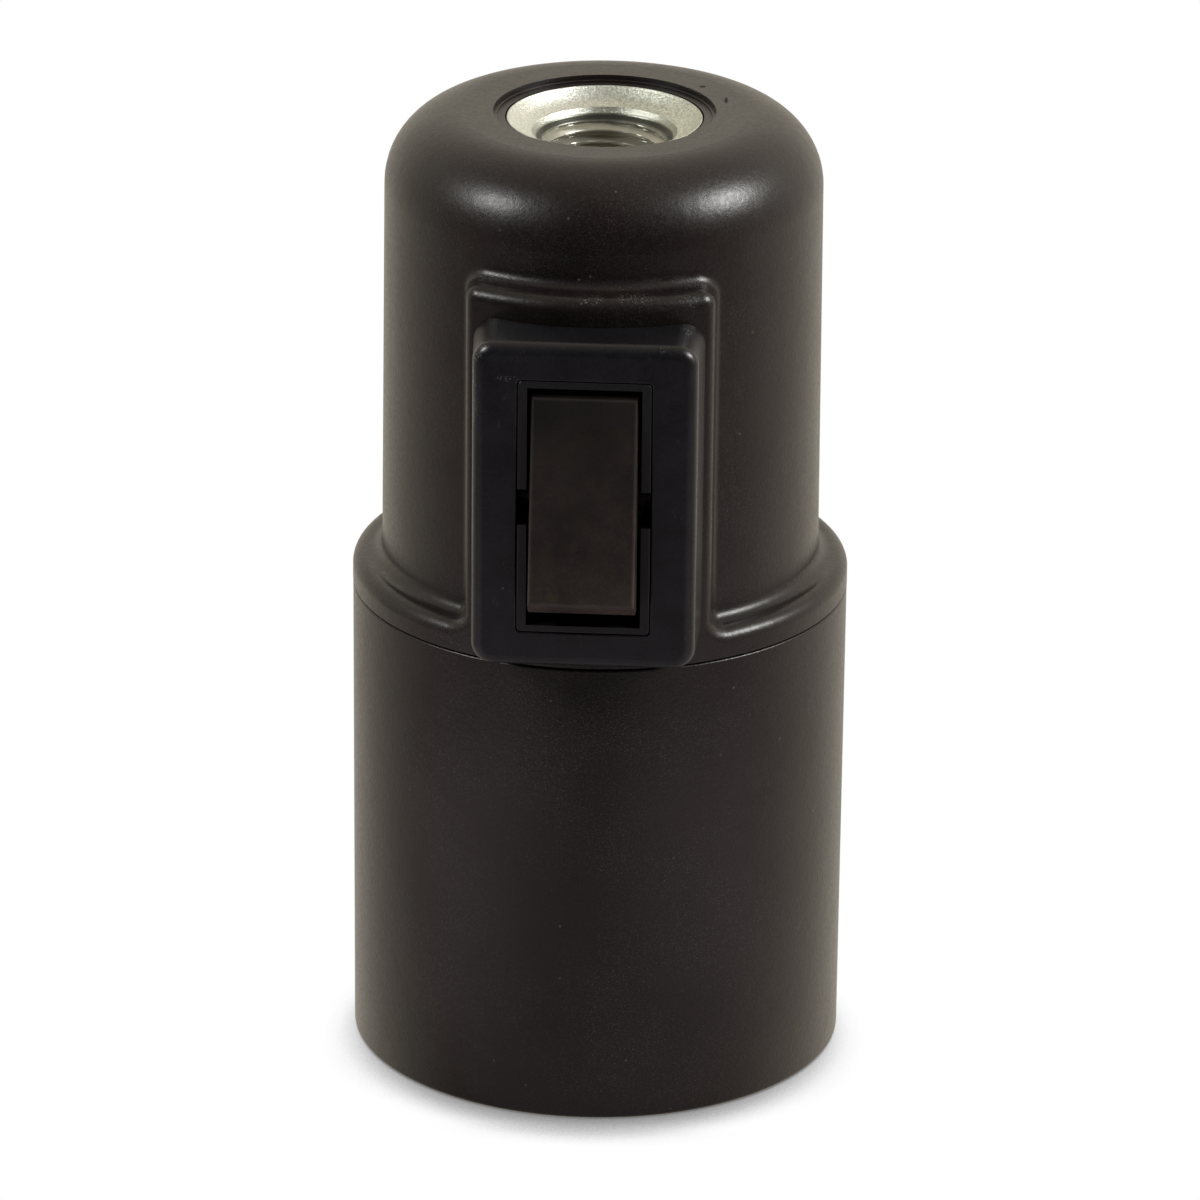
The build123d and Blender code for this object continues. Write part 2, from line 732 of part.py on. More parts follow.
# Two rivets through the shell's floor and the core; the second also holds the shell terminal
with BuildPart() as shell_rivets:
    for (x, y), top in zip(rivet_places, (deck_z, strip_top)):
        low = core_seat - shell_wall
        with Locations((x, y, low - rivet_head_height)):
            Cylinder(
                rivet_head_radius,
                rivet_head_height,
                align=(Align.CENTER, Align.CENTER, Align.MIN),
            )
            Cylinder(
                rivet_radius,
                top - low + 2 * rivet_head_height,
                align=(Align.CENTER, Align.CENTER, Align.MIN),
            )
        with Locations((x, y, top)):
            Cylinder(
                rivet_head_radius,
                rivet_head_height,
                align=(Align.CENTER, Align.CENTER, Align.MIN),
            )
shell_rivets.part.label = "shell_rivets"
export_step(shell_rivets.part, "parts/shell_rivets.step")

# Terminal screw of the shell terminal
with BuildPart() as shell_terminal_screw:
    with Locations((shell_screw_place[0], shell_screw_place[1], strip_top)):
        Cylinder(
            terminal_head_radius,
            terminal_head_height,
            align=(Align.CENTER, Align.CENTER, Align.MIN),
        )
        Cylinder(
            terminal_screw_radius,
            shell_screw_length,
            align=(Align.CENTER, Align.CENTER, Align.MAX),
        )
    slot_head(strip_top + terminal_head_height, terminal_head_radius, shell_screw_place)
shell_terminal_screw.part.label = "shell_terminal_screw"
export_step(shell_terminal_screw.part, "parts/shell_terminal_screw.step")

# Centre contact: a domed button with a flange that rests on the floor of the core's well
contact_tip = core_seat - contact_protrusion
with BuildPart() as centre_contact:
    with BuildSketch(Plane.XZ):
        with BuildLine():
            Polyline(
                (contact_radius - contact_tip_radius, contact_tip),
                (0, contact_tip),
                (0, well_z + contact_flange_height + contact_stem_length),
                (contact_stem_radius, well_z + contact_flange_height + contact_stem_length),
                (contact_stem_radius, well_z + contact_flange_height),
                (contact_flange_radius, well_z + contact_flange_height),
                (contact_flange_radius, well_z),
                (contact_radius, well_z),
                (contact_radius, contact_tip + contact_tip_radius),
            )
            CenterArc(
                (contact_radius - contact_tip_radius, contact_tip + contact_tip_radius),
                contact_tip_radius,
                -90,
                90,
            )
        make_face()
    revolve(axis=Axis.Z)
centre_contact.part.label = "centre_contact"
export_step(centre_contact.part, "parts/centre_contact.step")

# Contact spring: a coil between the button's flange and the strap above
spring_low = well_z + contact_flange_height + spring_wire_radius
spring_high = deck_z - spring_wire_radius
with BuildPart() as contact_spring:
    with BuildLine() as contact_coil:
        Helix(
            (spring_high - spring_low) / spring_turns,
            spring_high - spring_low,
            spring_radius,
            center=(0, 0, spring_low),
        )
    with BuildSketch(Plane(origin=contact_coil.line @ 0, z_dir=contact_coil.line % 0)):
        RegularPolygon(spring_wire_radius, spring_wire_sides)
    sweep(is_frenet=True)
contact_spring.part.label = "contact_spring"
export_step(contact_spring.part, "parts/contact_spring.step")

# Feed strap: closes the spring's well and meets the output blade's foot
with BuildPart() as feed_strap:
    with BuildSketch(Plane.XY.offset(deck_z)) as strap_outline:
        with Locations((0, (strap_back - strap_front) / 2)):
            RectangleRounded(2 * strap_half_width, strap_front + strap_back, strap_corner)
        with Locations(*strap_screw_places):
            Circle(strap_screw_radius + hole_clearance, mode=Mode.SUBTRACT)
    extrude(amount=strip_thickness)
feed_strap.part.label = "feed_strap"
export_step(feed_strap.part, "parts/feed_strap.step")

# Two screws that hold the strap to the core
with BuildPart() as strap_screws:
    for place in strap_screw_places:
        with Locations((place[0], place[1], strip_top)):
            Cylinder(
                strap_head_radius,
                strap_head_height,
                align=(Align.CENTER, Align.CENTER, Align.MIN),
            )
            Cylinder(
                strap_screw_radius,
                strap_screw_length,
                align=(Align.CENTER, Align.CENTER, Align.MAX),
            )
        slot_head(strip_top + strap_head_height, strap_head_radius, place)
strap_screws.part.label = "strap_screws"
export_step(strap_screws.part, "parts/strap_screws.step")
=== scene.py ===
import json
import math

import bmesh
import bpy
from mathutils import Matrix, Vector


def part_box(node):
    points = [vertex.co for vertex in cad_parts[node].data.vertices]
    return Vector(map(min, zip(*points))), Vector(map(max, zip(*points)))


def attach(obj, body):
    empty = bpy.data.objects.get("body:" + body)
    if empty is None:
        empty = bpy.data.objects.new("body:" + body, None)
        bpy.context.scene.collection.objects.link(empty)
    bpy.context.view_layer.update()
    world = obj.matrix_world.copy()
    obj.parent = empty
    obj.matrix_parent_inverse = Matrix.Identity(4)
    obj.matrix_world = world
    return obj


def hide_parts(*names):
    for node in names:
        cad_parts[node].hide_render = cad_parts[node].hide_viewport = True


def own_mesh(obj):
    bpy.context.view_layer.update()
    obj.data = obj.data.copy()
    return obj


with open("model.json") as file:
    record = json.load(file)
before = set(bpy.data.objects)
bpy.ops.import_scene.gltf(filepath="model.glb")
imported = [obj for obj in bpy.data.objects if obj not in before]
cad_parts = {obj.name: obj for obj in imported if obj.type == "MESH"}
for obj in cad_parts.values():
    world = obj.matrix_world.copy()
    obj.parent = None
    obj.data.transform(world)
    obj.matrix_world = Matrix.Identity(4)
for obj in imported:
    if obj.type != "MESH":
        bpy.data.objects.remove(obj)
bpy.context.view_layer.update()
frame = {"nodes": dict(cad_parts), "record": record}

mm = 0.001
corner_angle = math.radians(35)
nodes = frame["nodes"]

# Camera: the photograph's viewing angle, for a square picture
camera_place = (37.11 * mm, -663.45 * mm, 306.21 * mm)
camera_turn = math.radians(3.2)
camera_pitch = math.radians(22.033)
camera_roll = math.radians(0.582)
camera_lens = 263.84
sensor_width = 36.0
clip_near = 0.01
clip_far = 50

# Tube entry: the bush's dish and its M10x1 thread
bush_low, bush_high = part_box("entry_bush")
rim_z = bush_high.z
bush_end_z = bush_low.z
bush_rim_radius = bush_high.x
bush_edge = 0.12 * mm
bush_corner_cut = 0.3 * bush_edge
tube_pitch = 1.0 * mm
tube_minor_radius = 4.46 * mm
tube_major_radius = 5.05 * mm
bush_throat_radius = 5.87 * mm
bush_throat_z = rim_z - 1.15 * mm
bush_bore_radius = 5.42 * mm
bush_lip_z = rim_z - 1.7 * mm
thread_mouth_radius = 4.7 * mm
thread_mouth_z = rim_z - 2.42 * mm
thread_flat = 0.16
bush_body_radius = 6.9 * mm
bush_seat_drop = 3.2 * mm

# Dish: the steps it is drawn in, and the turned rings near its two edges
dish_steps = 60
dish_ring_height = 0.012 * mm
dish_ring_swings = 15
dish_ring_zone = 0.45

# Step below the dish: how far its corners lie from the throat's edge, then from the lip's
throat_corners = ((-0.06 * mm, -0.03 * mm), (-0.09 * mm, -0.10 * mm))
lip_corners = ((0.11 * mm, 0.13 * mm), (0.07 * mm, 0.12 * mm), (0.02 * mm, 0.02 * mm))

# How finely the bush's bore is drawn: closely where it can be seen, more coarsely below
seen_depth = 6 * mm
seen_step = 0.05 * mm
deep_step = 0.125 * mm
bore_end_gap = 0.02 * mm

# Thin raised ring round the recess that the bush sits in
ring_inner_radius = 8.58 * mm
ring_outer_radius = 8.93 * mm
ring_height = 0.16 * mm
ring_edge = 0.05 * mm
ring_sunk = 0.03 * mm

# Screw shell: rolled thread of an E27 cap
shell_low, shell_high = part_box("screw_shell")
shell_pitch = 3.629 * mm
shell_minor_radius = 12.25 * mm
shell_major_radius = 13.25 * mm
shell_wall = 0.35 * mm
shell_thread_length = 18.5 * mm
shell_rows = 76
shell_plain_rim = 0.4 * mm
shell_fade_in = 1.2 * mm
shell_fade_out = 1.5 * mm
shell_floor_radius = 10.8 * mm
shell_hole_radius = 6.0 * mm
shell_corner = 0.5 * mm
shell_neck_drop = 0.9 * mm
shell_top_gap = 0.02 * mm

# Spring above the centre contact, drawn at one length; the real one shortens as the contact is pushed in
spring_low, spring_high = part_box("contact_spring")
spring_wire = 0.3 * mm
spring_turns = 3.25
spring_flat_turns = 0.35
spring_steps = 150
spring_sides = 12

# Skirt, and the coarse thread between it and the cap's spigot
cap_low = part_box("cap")[0]
skirt_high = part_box("skirt")[1]
skirt_top = skirt_high.z
skirt_radius = skirt_high.x
skirt_draft = 0.1 * mm
skirt_top_round = 0.17 * mm
skirt_rim_round = 0.4 * mm
mouth_radius = 17.8 * mm
mouth_depth = 8.0 * mm
skirt_inner_radius = 17.2 * mm
ledge_radius = 14.6 * mm
ledge_top = 30.0 * mm
ledge_bottom = 27.5 * mm
skirt_bore_radius = 17.48 * mm
skirt_thread_low = ledge_top + 0.3 * mm
skirt_thread_high = skirt_top - 0.5 * mm
skirt_thread_phase = 0.5
spigot_radius = 17.18 * mm
spigot_top = 39.5 * mm
spigot_thread_low = cap_low.z + 0.2 * mm
spigot_thread_high = spigot_top - 0.4 * mm
spigot_thread_phase = 0.0
spigot_thread_sunk = 0.02 * mm
spigot_thread_wall = 0.3 * mm
coarse_pitch = 3.0 * mm
coarse_fade = 0.6 * mm
coarse_rows = 50
ridge_height = 0.2 * mm

# How many points go round each spun shape, and how many steps make a rounded corner
bush_around = 180
shell_around = 128
skirt_around = 240
corner_steps = 5

# Small dark marks on the cap's flat top: place and size of each
top_marks = (
    ((7.5 * mm, 6.55 * mm, 79.3 * mm), (0.30 * mm, 0.22 * mm, 0.4 * mm)),
    ((9.52 * mm, 3.3 * mm, 79.3 * mm), (0.15 * mm, 0.75 * mm, 0.4 * mm)),
)

# Painted glints on lightly worn parts of the pad's top edges and the bezel's corners: place and size of
# each patch
pad_wear_and_glints = (
    ((0.2 * mm, -19.6 * mm, 70.4 * mm), (1.0 * mm, 1.0 * mm, 0.4 * mm)),
    ((3.7 * mm, -19.1 * mm, 70.5 * mm), (1.8 * mm, 1.0 * mm, 0.35 * mm)),
    ((7.8 * mm, -18.3 * mm, 70.1 * mm), (0.8 * mm, 0.9 * mm, 0.5 * mm)),
    ((8.2 * mm, -16.0 * mm, 70.8 * mm), (0.7 * mm, 0.9 * mm, 0.4 * mm)),
    ((-8.2 * mm, -16.0 * mm, 70.8 * mm), (1.0 * mm, 0.9 * mm, 0.4 * mm)),
)
bezel_wear_and_glints = (
    ((-8.5 * mm, -23.0 * mm, 67.5 * mm), (1.0 * mm, 1.4 * mm, 1.1 * mm)),
    ((-8.8 * mm, -23.3 * mm, 63.3 * mm), (0.5 * mm, 1.0 * mm, 2.2 * mm)),
    ((7.9 * mm, -19.4 * mm, 68.2 * mm), (0.6 * mm, 1.4 * mm, 0.6 * mm)),
    ((6.0 * mm, -23.5 * mm, 67.9 * mm), (0.3 * mm, 0.4 * mm, 0.3 * mm)),
    ((-6.0 * mm, -23.85 * mm, 65.3 * mm), (0.9 * mm, 0.4 * mm, 0.25 * mm)),
)

# Marks, and worn patches with painted glints: where they fade out, how ragged they are, and the scuffs and
# glints in them
patch_edge = (1.2, 1.6)
patch_raggedness = 0.25 * mm
glint_and_scuff_grain = 0.16 * mm
glint_and_scuff_band = (0.55, 0.64)

# Specks: where they fade out, as shares of their spacing, and how sharply a few are picked
speck_edge = (0.06, 0.14)
speck_pick = 0.02

# Bands that most of a noise's values lie in
noise_band = (0.3, 0.7)
inner_band = (0.35, 0.65)

# Index of refraction of every surface, which sets the strength of its gloss
refraction = 1.5

# Plain metals: darker and lighter colour, and the lowest and highest roughness
metals = {
    "plated_steel": ((0.42, 0.42, 0.40), (0.62, 0.62, 0.60), (0.25, 0.4)),
    "brass": ((0.52, 0.37, 0.15), (0.72, 0.55, 0.27), (0.22, 0.36)),
    "shell_metal": ((0.58, 0.50, 0.36), (0.72, 0.64, 0.48), (0.16, 0.28)),
}

# Surroundings: how bright they are from front (0) to back (1), their tint and how much is left overhead
world_levels = ((0.0, 0.01), (0.17, 0.08), (0.32, 0.25), (0.5, 0.42), (0.82, 0.88), (1.0, 0.97))
world_direction = (0.12, 0.99, 0.0)
world_tint = (1.0, 0.92, 0.77)
overhead_level = 0.9

# Floor: how it shades close to the object, from covered to open
floor_centre = (0.0, 0.0)
floor_size = (8.0, 8.0)
floor_height = 0.0
floor_tint = (1.0, 1.0, 1.0)
floor_light_direction = (0.0, 0.72, 0.69)
floor_shade_reach = 6 * mm
floor_shade_samples = 8
floor_shade_levels = ((0.22, 0.17), (0.44, 0.41), (0.58, 0.68), (0.66, 1.0))

# Card that reflections show in front of the object: how bright it is from its middle (0) to its sides (1)
card_centre = (0.0, -84 * mm)
card_size = (300 * mm, 128 * mm)
card_height = -1 * mm
card_levels = ((0.0, 0.3), (0.12, 0.3), (0.35, 0.66), (0.56, 0.66), (0.75, 0.3), (1.0, 0.3))
card_tint = (1.0, 0.87, 0.90)

# Softboxes: name, direction from the point they face, width and length, and power
softboxes = (
    ("softbox_left", (-0.728, -0.338, 0.597), (0.3, 0.3), 6.6),
    ("softbox_right", (0.8, -0.114, 0.59), (0.42, 0.34), 12.3),
)
softbox_target = (0, 0, 45 * mm)
softbox_distance = 1.2
softbox_tint = (0.98, 1.0, 0.98)


def make_camera():
    """The camera, from its place, turn, pitch and roll."""
    data = bpy.data.cameras.new("camera")
    data.sensor_width = sensor_width
    data.lens = camera_lens
    data.clip_start = clip_near
    data.clip_end = clip_far
    camera = bpy.data.objects.new("camera", data)
    turn = Matrix.Rotation(camera_turn, 4, "Z")
    pitch = Matrix.Rotation(math.pi / 2 - camera_pitch, 4, "X")
    roll = Matrix.Rotation(camera_roll, 4, "Z")
    camera.matrix_world = Matrix.Translation(camera_place) @ turn @ pitch @ roll
    bpy.context.scene.collection.objects.link(camera)
    bpy.context.scene.camera = camera


def add_softbox(name, direction, size, power):
    """A rectangular area light that faces the middle of the object."""
    middle = Vector(softbox_target)
    place = middle + Vector(direction).normalized() * softbox_distance
    data = bpy.data.lights.new(name, "AREA")
    data.shape = "RECTANGLE"
    data.size, data.size_y = size
    data.energy = power
    data.color = softbox_tint
    light = bpy.data.objects.new(name, data)
    light.rotation_euler = (middle - place).to_track_quat("-Z", "Y").to_euler()
    light.location = place
    bpy.context.scene.collection.objects.link(light)


def add_level_ramp(tree, levels, interpolation):
    """A ramp node that gives a grey level for each place from 0 to 1."""
    node = tree.nodes.new("ShaderNodeValToRGB")
    node.color_ramp.interpolation = interpolation
    stops = node.color_ramp.elements
    places, greys = zip(*levels)
    first_stop, last_stop = stops[0], stops[1]
    first_stop.position = places[0]
    last_stop.position = places[-1]
    for place in places[1:-1]:
        stops.new(place)
    for stop, grey in zip(stops, greys):
        stop.color = (grey, grey, grey, 1)
    return node


def make_world():
    """Soft warm light all round: bright behind the object, dark in front of it and dimmer overhead."""
    world = bpy.data.worlds.new("studio")
    bpy.context.scene.world = world
    world.use_nodes = True
    tree = world.node_tree
    background = tree.nodes["Background"]
    background.inputs["Color"].default_value = (*world_tint, 1)
    place = tree.nodes.new("ShaderNodeTexCoord")
    split = tree.nodes.new("ShaderNodeSeparateXYZ")
    towards = tree.nodes.new("ShaderNodeVectorMath")
    towards.operation = "DOT_PRODUCT"
    towards.inputs[1].default_value = world_direction
    along = tree.nodes.new("ShaderNodeMapRange")
    along.inputs["From Min"].default_value = -1
    ramp = add_level_ramp(tree, world_levels, "B_SPLINE")
    overhead = tree.nodes.new("ShaderNodeMapRange")
    overhead.inputs["To Min"].default_value = 1
    overhead.inputs["To Max"].default_value = overhead_level
    strength = tree.nodes.new("ShaderNodeMath")
    strength.operation = "MULTIPLY"
    tree.links.new(place.outputs["Generated"], split.inputs[0])
    tree.links.new(place.outputs["Generated"], towards.inputs[0])
    tree.links.new(towards.outputs["Value"], along.inputs["Value"])
    tree.links.new(along.outputs[0], ramp.inputs[0])
    tree.links.new(split.outputs["Z"], overhead.inputs["Value"])
    tree.links.new(ramp.outputs[0], strength.inputs[0])
    tree.links.new(overhead.outputs[0], strength.inputs[1])
    tree.links.new(strength.outputs[0], background.inputs["Strength"])


def add_glowing_sheet(name, centre, size, height, tint):
    """A flat stage sheet that only glows; returns its object, its node tree and its shader."""
    mesh = bpy.data.meshes.new(name)
    (x, y), (width, length) = centre, size
    halves = ((-0.5, -0.5), (0.5, -0.5), (0.5, 0.5), (-0.5, 0.5))
    mesh.from_pydata([(x + a * width, y + b * length, height) for a, b in halves], [], [(0, 1, 2, 3)])
    sheet = bpy.data.objects.new(name, mesh)
    bpy.context.scene.collection.objects.link(sheet)
    material = bpy.data.materials.new(name)
    material.use_nodes = True
    tree = material.node_tree
    shader = tree.nodes["Principled BSDF"]
    shader.inputs["Base Color"].default_value = (0, 0, 0, 1)
    shader.inputs["Specular IOR Level"].default_value = 0
    shader.inputs["Emission Color"].default_value = (*tint, 1)
    mesh.materials.append(material)
    return sheet, tree, shader


def make_card():
    """A dim card in front of the object, just under the floor's level, seen only in reflections."""
    card, tree, shader = add_glowing_sheet("card", card_centre, card_size, card_height, card_tint)
    place = tree.nodes.new("ShaderNodeTexCoord")
    split = tree.nodes.new("ShaderNodeSeparateXYZ")
    off_middle = tree.nodes.new("ShaderNodeMath")
    off_middle.operation = "ABSOLUTE"
    along = tree.nodes.new("ShaderNodeMapRange")
    along.inputs["From Max"].default_value = card_size[0] / 2
    level = add_level_ramp(tree, card_levels, "B_SPLINE")
    tree.links.new(place.outputs["Object"], split.inputs[0])
    tree.links.new(split.outputs["X"], off_middle.inputs[0])
    tree.links.new(off_middle.outputs[0], along.inputs["Value"])
    tree.links.new(along.outputs[0], level.inputs[0])
    tree.links.new(level.outputs[0], shader.inputs["Emission Strength"])
    card.visible_camera = False
    card.visible_diffuse = False


def make_floor():
    """Plain pale floor, evenly bright, shaded only where it lies close to the object."""
    floor, tree, shader = add_glowing_sheet("floor", floor_centre, floor_size, floor_height, floor_tint)
    floor.visible_glossy = False
    lean = tree.nodes.new("ShaderNodeCombineXYZ")
    for socket, value in zip(lean.inputs, floor_light_direction):
        socket.default_value = value
    occlusion = tree.nodes.new("ShaderNodeAmbientOcclusion")
    occlusion.samples = floor_shade_samples
    occlusion.inputs["Distance"].default_value = floor_shade_reach
    level = add_level_ramp(tree, floor_shade_levels, "LINEAR")
    tree.links.new(lean.outputs[0], occlusion.inputs["Normal"])
    tree.links.new(occlusion.outputs["AO"], level.inputs[0])
    tree.links.new(level.outputs[0], shader.inputs["Emission Strength"])


class Surface:
    """A procedural material, built step by step on one Principled shader."""

    def __init__(self, name, metallic=0.0, tint=(1.0, 1.0, 1.0)):
        self.material = bpy.data.materials.new(name)
        self.material.use_nodes = True
        self.tree = self.material.node_tree
        self.shader = self.tree.nodes["Principled BSDF"]
        self.shader.inputs["Metallic"].default_value = metallic
        self.shader.inputs["IOR"].default_value = refraction
        self.shader.inputs["Specular Tint"].default_value = (*tint, 1)
        self.place = self.tree.nodes.new("ShaderNodeTexCoord")
        self.relief = None

    def link(self, output, target):
        self.tree.links.new(output, target)

    def math(self, operation, first, second):
        """Works out a value from two others; each is a plain number or another node's output."""
        node = self.tree.nodes.new("ShaderNodeMath")
        node.operation = operation
        for socket, value in zip(node.inputs, (first, second)):
            if isinstance(value, (int, float)):
                socket.default_value = value
            else:
                self.link(value, socket)
        return node.outputs[0]

    def ramp(self, value, band, out=(0, 1)):
        """Maps a value from one band to another, clamped."""
        node = self.tree.nodes.new("ShaderNodeMapRange")
        self.link(value, node.inputs["Value"])
        node.inputs["From Min"].default_value, node.inputs["From Max"].default_value = band
        node.inputs["To Min"].default_value, node.inputs["To Max"].default_value = out
        return node.outputs[0]

    def mix(self, factor, first, second):
        """Mixes two colours; each is a plain colour or another node's output."""
        node = self.tree.nodes.new("ShaderNodeMix")
        node.data_type = "RGBA"
        self.link(factor, node.inputs["Factor"])
        for socket, value in ((node.inputs[6], first), (node.inputs[7], second)):
            if isinstance(value, tuple):
                socket.default_value = (*value, 1)
            else:
                self.link(value, socket)
        return node.outputs[2]

    def tone(self, value, band, first, second):
        """Goes from one colour to another as a value crosses a band."""
        return self.mix(self.ramp(value, band), first, second)

    def noise(self, size, detail=2, roughness=0.5, squeeze=None):
        """Noise whose lumps are about size metres across; squeeze stretches it along an axis."""
        texture = self.tree.nodes.new("ShaderNodeTexNoise")
        texture.inputs["Scale"].default_value = 1 / size
        texture.inputs["Detail"].default_value = detail
        texture.inputs["Roughness"].default_value = roughness
        source = self.place.outputs["Object"]
        if squeeze:
            mapping = self.tree.nodes.new("ShaderNodeMapping")
            mapping.inputs["Scale"].default_value = squeeze
            self.link(source, mapping.inputs["Vector"])
            source = mapping.outputs["Vector"]
        self.link(source, texture.inputs["Vector"])
        return texture.outputs["Fac"]

    def dots(self, spacing, share):
        """Sparse round specks, as a value that is 1 in a speck and 0 elsewhere."""
        texture = self.tree.nodes.new("ShaderNodeTexVoronoi")
        texture.inputs["Scale"].default_value = 1 / spacing
        self.link(self.place.outputs["Object"], texture.inputs["Vector"])
        near = self.ramp(texture.outputs["Distance"], speck_edge, out=(1, 0))
        split = self.tree.nodes.new("ShaderNodeSeparateColor")
        self.link(texture.outputs["Color"], split.inputs[0])
        picked = self.ramp(split.outputs[0], (1 - share, 1 - share + speck_pick))
        return self.math("MULTIPLY", near, picked)

    def length(self, vector):
        """The length of a vector."""
        node = self.tree.nodes.new("ShaderNodeVectorMath")
        node.operation = "LENGTH"
        self.link(vector, node.inputs[0])
        return node.outputs["Value"]

    def radius(self):
        """Distance from the upright axis through the origin, in metres."""
        flat = self.tree.nodes.new("ShaderNodeMapping")
        flat.inputs["Scale"].default_value = (1, 1, 0)
        self.link(self.place.outputs["Object"], flat.inputs["Vector"])
        return self.length(flat.outputs["Vector"])

    def axis_value(self, axis):
        """The place along one axis, in metres."""
        split = self.tree.nodes.new("ShaderNodeSeparateXYZ")
        self.link(self.place.outputs["Object"], split.inputs[0])
        return split.outputs[axis]

    def spot(self, centre, size):
        """A ragged patch round a point, as a value that is 1 inside and 0 outside."""
        shift = self.tree.nodes.new("ShaderNodeMapping")
        shift.vector_type = "TEXTURE"
        shift.inputs["Location"].default_value = centre
        shift.inputs["Scale"].default_value = size
        self.link(self.place.outputs["Object"], shift.inputs["Vector"])
        away = self.length(shift.outputs["Vector"])
        ragged = self.math("ADD", away, self.noise(patch_raggedness))
        return self.ramp(ragged, patch_edge, out=(1, 0))

    def wear_and_glints(self, patches):
        """Fine scuffs and painted glints within a few worn patches, as a value from 0 to 1."""
        fine = self.ramp(self.noise(glint_and_scuff_grain, detail=3, roughness=0.7), glint_and_scuff_band)
        inside = 0
        for centre, size in patches:
            inside = self.math("MAXIMUM", inside, self.spot(centre, size))
        return self.math("MULTIPLY", fine, inside)

    def colour(self, value):
        self.link(value, self.shader.inputs["Base Color"])

    def metallic(self, value):
        self.link(value, self.shader.inputs["Metallic"])

    def roughness(self, value):
        self.link(value, self.shader.inputs["Roughness"])

    def bump(self, height, depth):
        """Adds a relief whose full swing is depth metres."""
        node = self.tree.nodes.new("ShaderNodeBump")
        node.inputs["Distance"].default_value = depth
        node.inputs["Strength"].default_value = 1
        self.link(height, node.inputs["Height"])
        if self.relief:
            self.link(self.relief, node.inputs["Normal"])
        self.relief = node.outputs["Normal"]
        self.link(self.relief, self.shader.inputs["Normal"])


def make_thermoset():
    """Dark brown-black moulded thermoset: fine grain, faint mottling, a few pale specks of filler and, on
    the pad's top edges, worn patches with painted glints.
    """
    dark_body = (0.0040, 0.0018, 0.0020)
    light_body = (0.0074, 0.0042, 0.0040)
    grain_colour = (0.034, 0.032, 0.032)
    dust_colour = (0.030, 0.028, 0.026)
    speck_colour = (0.06, 0.055, 0.05)
    pale_fleck_colour = (0.10, 0.10, 0.10)
    mark_colour = (0.0012, 0.0010, 0.0009)
    mark_strength = 0.6
    surface = Surface("thermoset", tint=(1.0, 0.97, 0.97))
    cloud = surface.noise(size=7 * mm, detail=4, roughness=0.6)
    swirl = surface.noise(size=1.6 * mm)
    grain = surface.noise(size=0.3 * mm, detail=3, roughness=0.6)
    body = surface.tone(cloud, inner_band, dark_body, light_body)
    fine_grain = surface.noise(size=0.14 * mm, detail=3, roughness=0.8)
    fine = surface.ramp(fine_grain, band=(0.53, 0.70))
    drift = surface.noise(size=8 * mm, detail=3, roughness=0.6)
    patchy = surface.ramp(drift, band=(0.42, 0.62), out=(0.25, 1))
    grained = surface.mix(surface.math("MULTIPLY", fine, patchy), body, grain_colour)
    dusted = surface.mix(surface.dots(spacing=0.5 * mm, share=0.10), grained, dust_colour)
    specked = surface.mix(surface.dots(spacing=0.9 * mm, share=0.05), dusted, speck_colour)
    either_mark = surface.math("MAXIMUM", surface.spot(*top_marks[0]), surface.spot(*top_marks[1]))
    marks = surface.math("MULTIPLY", mark_strength, either_mark)
    # Pale patches on the pad's top edges: light wear with painted glints
    pale_flecked = surface.mix(surface.wear_and_glints(pad_wear_and_glints), specked, pale_fleck_colour)
    surface.colour(surface.mix(marks, pale_flecked, mark_colour))
    uneven = surface.ramp(cloud, noise_band, out=(-0.02, 0.03))
    matt = surface.ramp(grain, noise_band, out=(0.29, 0.39))
    surface.roughness(surface.math("ADD", matt, surface.math("MAXIMUM", uneven, marks)))
    surface.bump(swirl, depth=0.02 * mm)
    surface.bump(grain, depth=0.017 * mm)
    surface.bump(surface.math("SUBTRACT", 1, marks), depth=0.1 * mm)
    return surface.material


def make_bezel_plastic():
    """Bluish black satin moulding, with faint upright scuffs and worn corners that carry painted glints.
    """
    dark_body = (0.0040, 0.0038, 0.0048)
    light_body = (0.0068, 0.0066, 0.0082)
    speck_colour = (0.10, 0.10, 0.11)
    pale_fleck_colour = (0.022, 0.022, 0.025)
    glint_and_wear_colour = (0.11, 0.11, 0.115)
    scuffed_band = (0.66, 0.72)
    surface = Surface("bezel_plastic", tint=(1.0, 0.94, 1.0))
    cloud = surface.noise(size=3 * mm, detail=3)
    grain = surface.noise(size=0.25 * mm, detail=3)
    body = surface.tone(cloud, inner_band, dark_body, light_body)
    scuffs = surface.noise(size=0.5 * mm, detail=4, roughness=0.7, squeeze=(1.0, 1.0, 0.35))
    specked = surface.mix(surface.dots(spacing=0.7 * mm, share=0.03), body, speck_colour)
    pale_flecked = surface.tone(scuffs, scuffed_band, specked, pale_fleck_colour)
    # Pale patches at the bezel's corners: light wear with painted glints
    surface.colour(surface.mix(surface.wear_and_glints(bezel_wear_and_glints), pale_flecked, glint_and_wear_colour))
    surface.roughness(surface.ramp(grain, noise_band, out=(0.27, 0.36)))
    surface.bump(cloud, depth=0.02 * mm)
    surface.bump(grain, depth=0.006 * mm)
    return surface.material


def make_switch_plastic():
    """Black moulding of the switch's body."""
    dark_body = (0.0035, 0.0035, 0.0040)
    light_body = (0.0055, 0.0055, 0.0062)
    surface = Surface("switch_plastic")
    grain = surface.noise(size=0.25 * mm, detail=3)
    surface.colour(surface.mix(grain, dark_body, light_body))
    surface.roughness(surface.ramp(grain, noise_band, out=(0.36, 0.44)))
    surface.bump(grain, depth=0.003 * mm)
    return surface.material


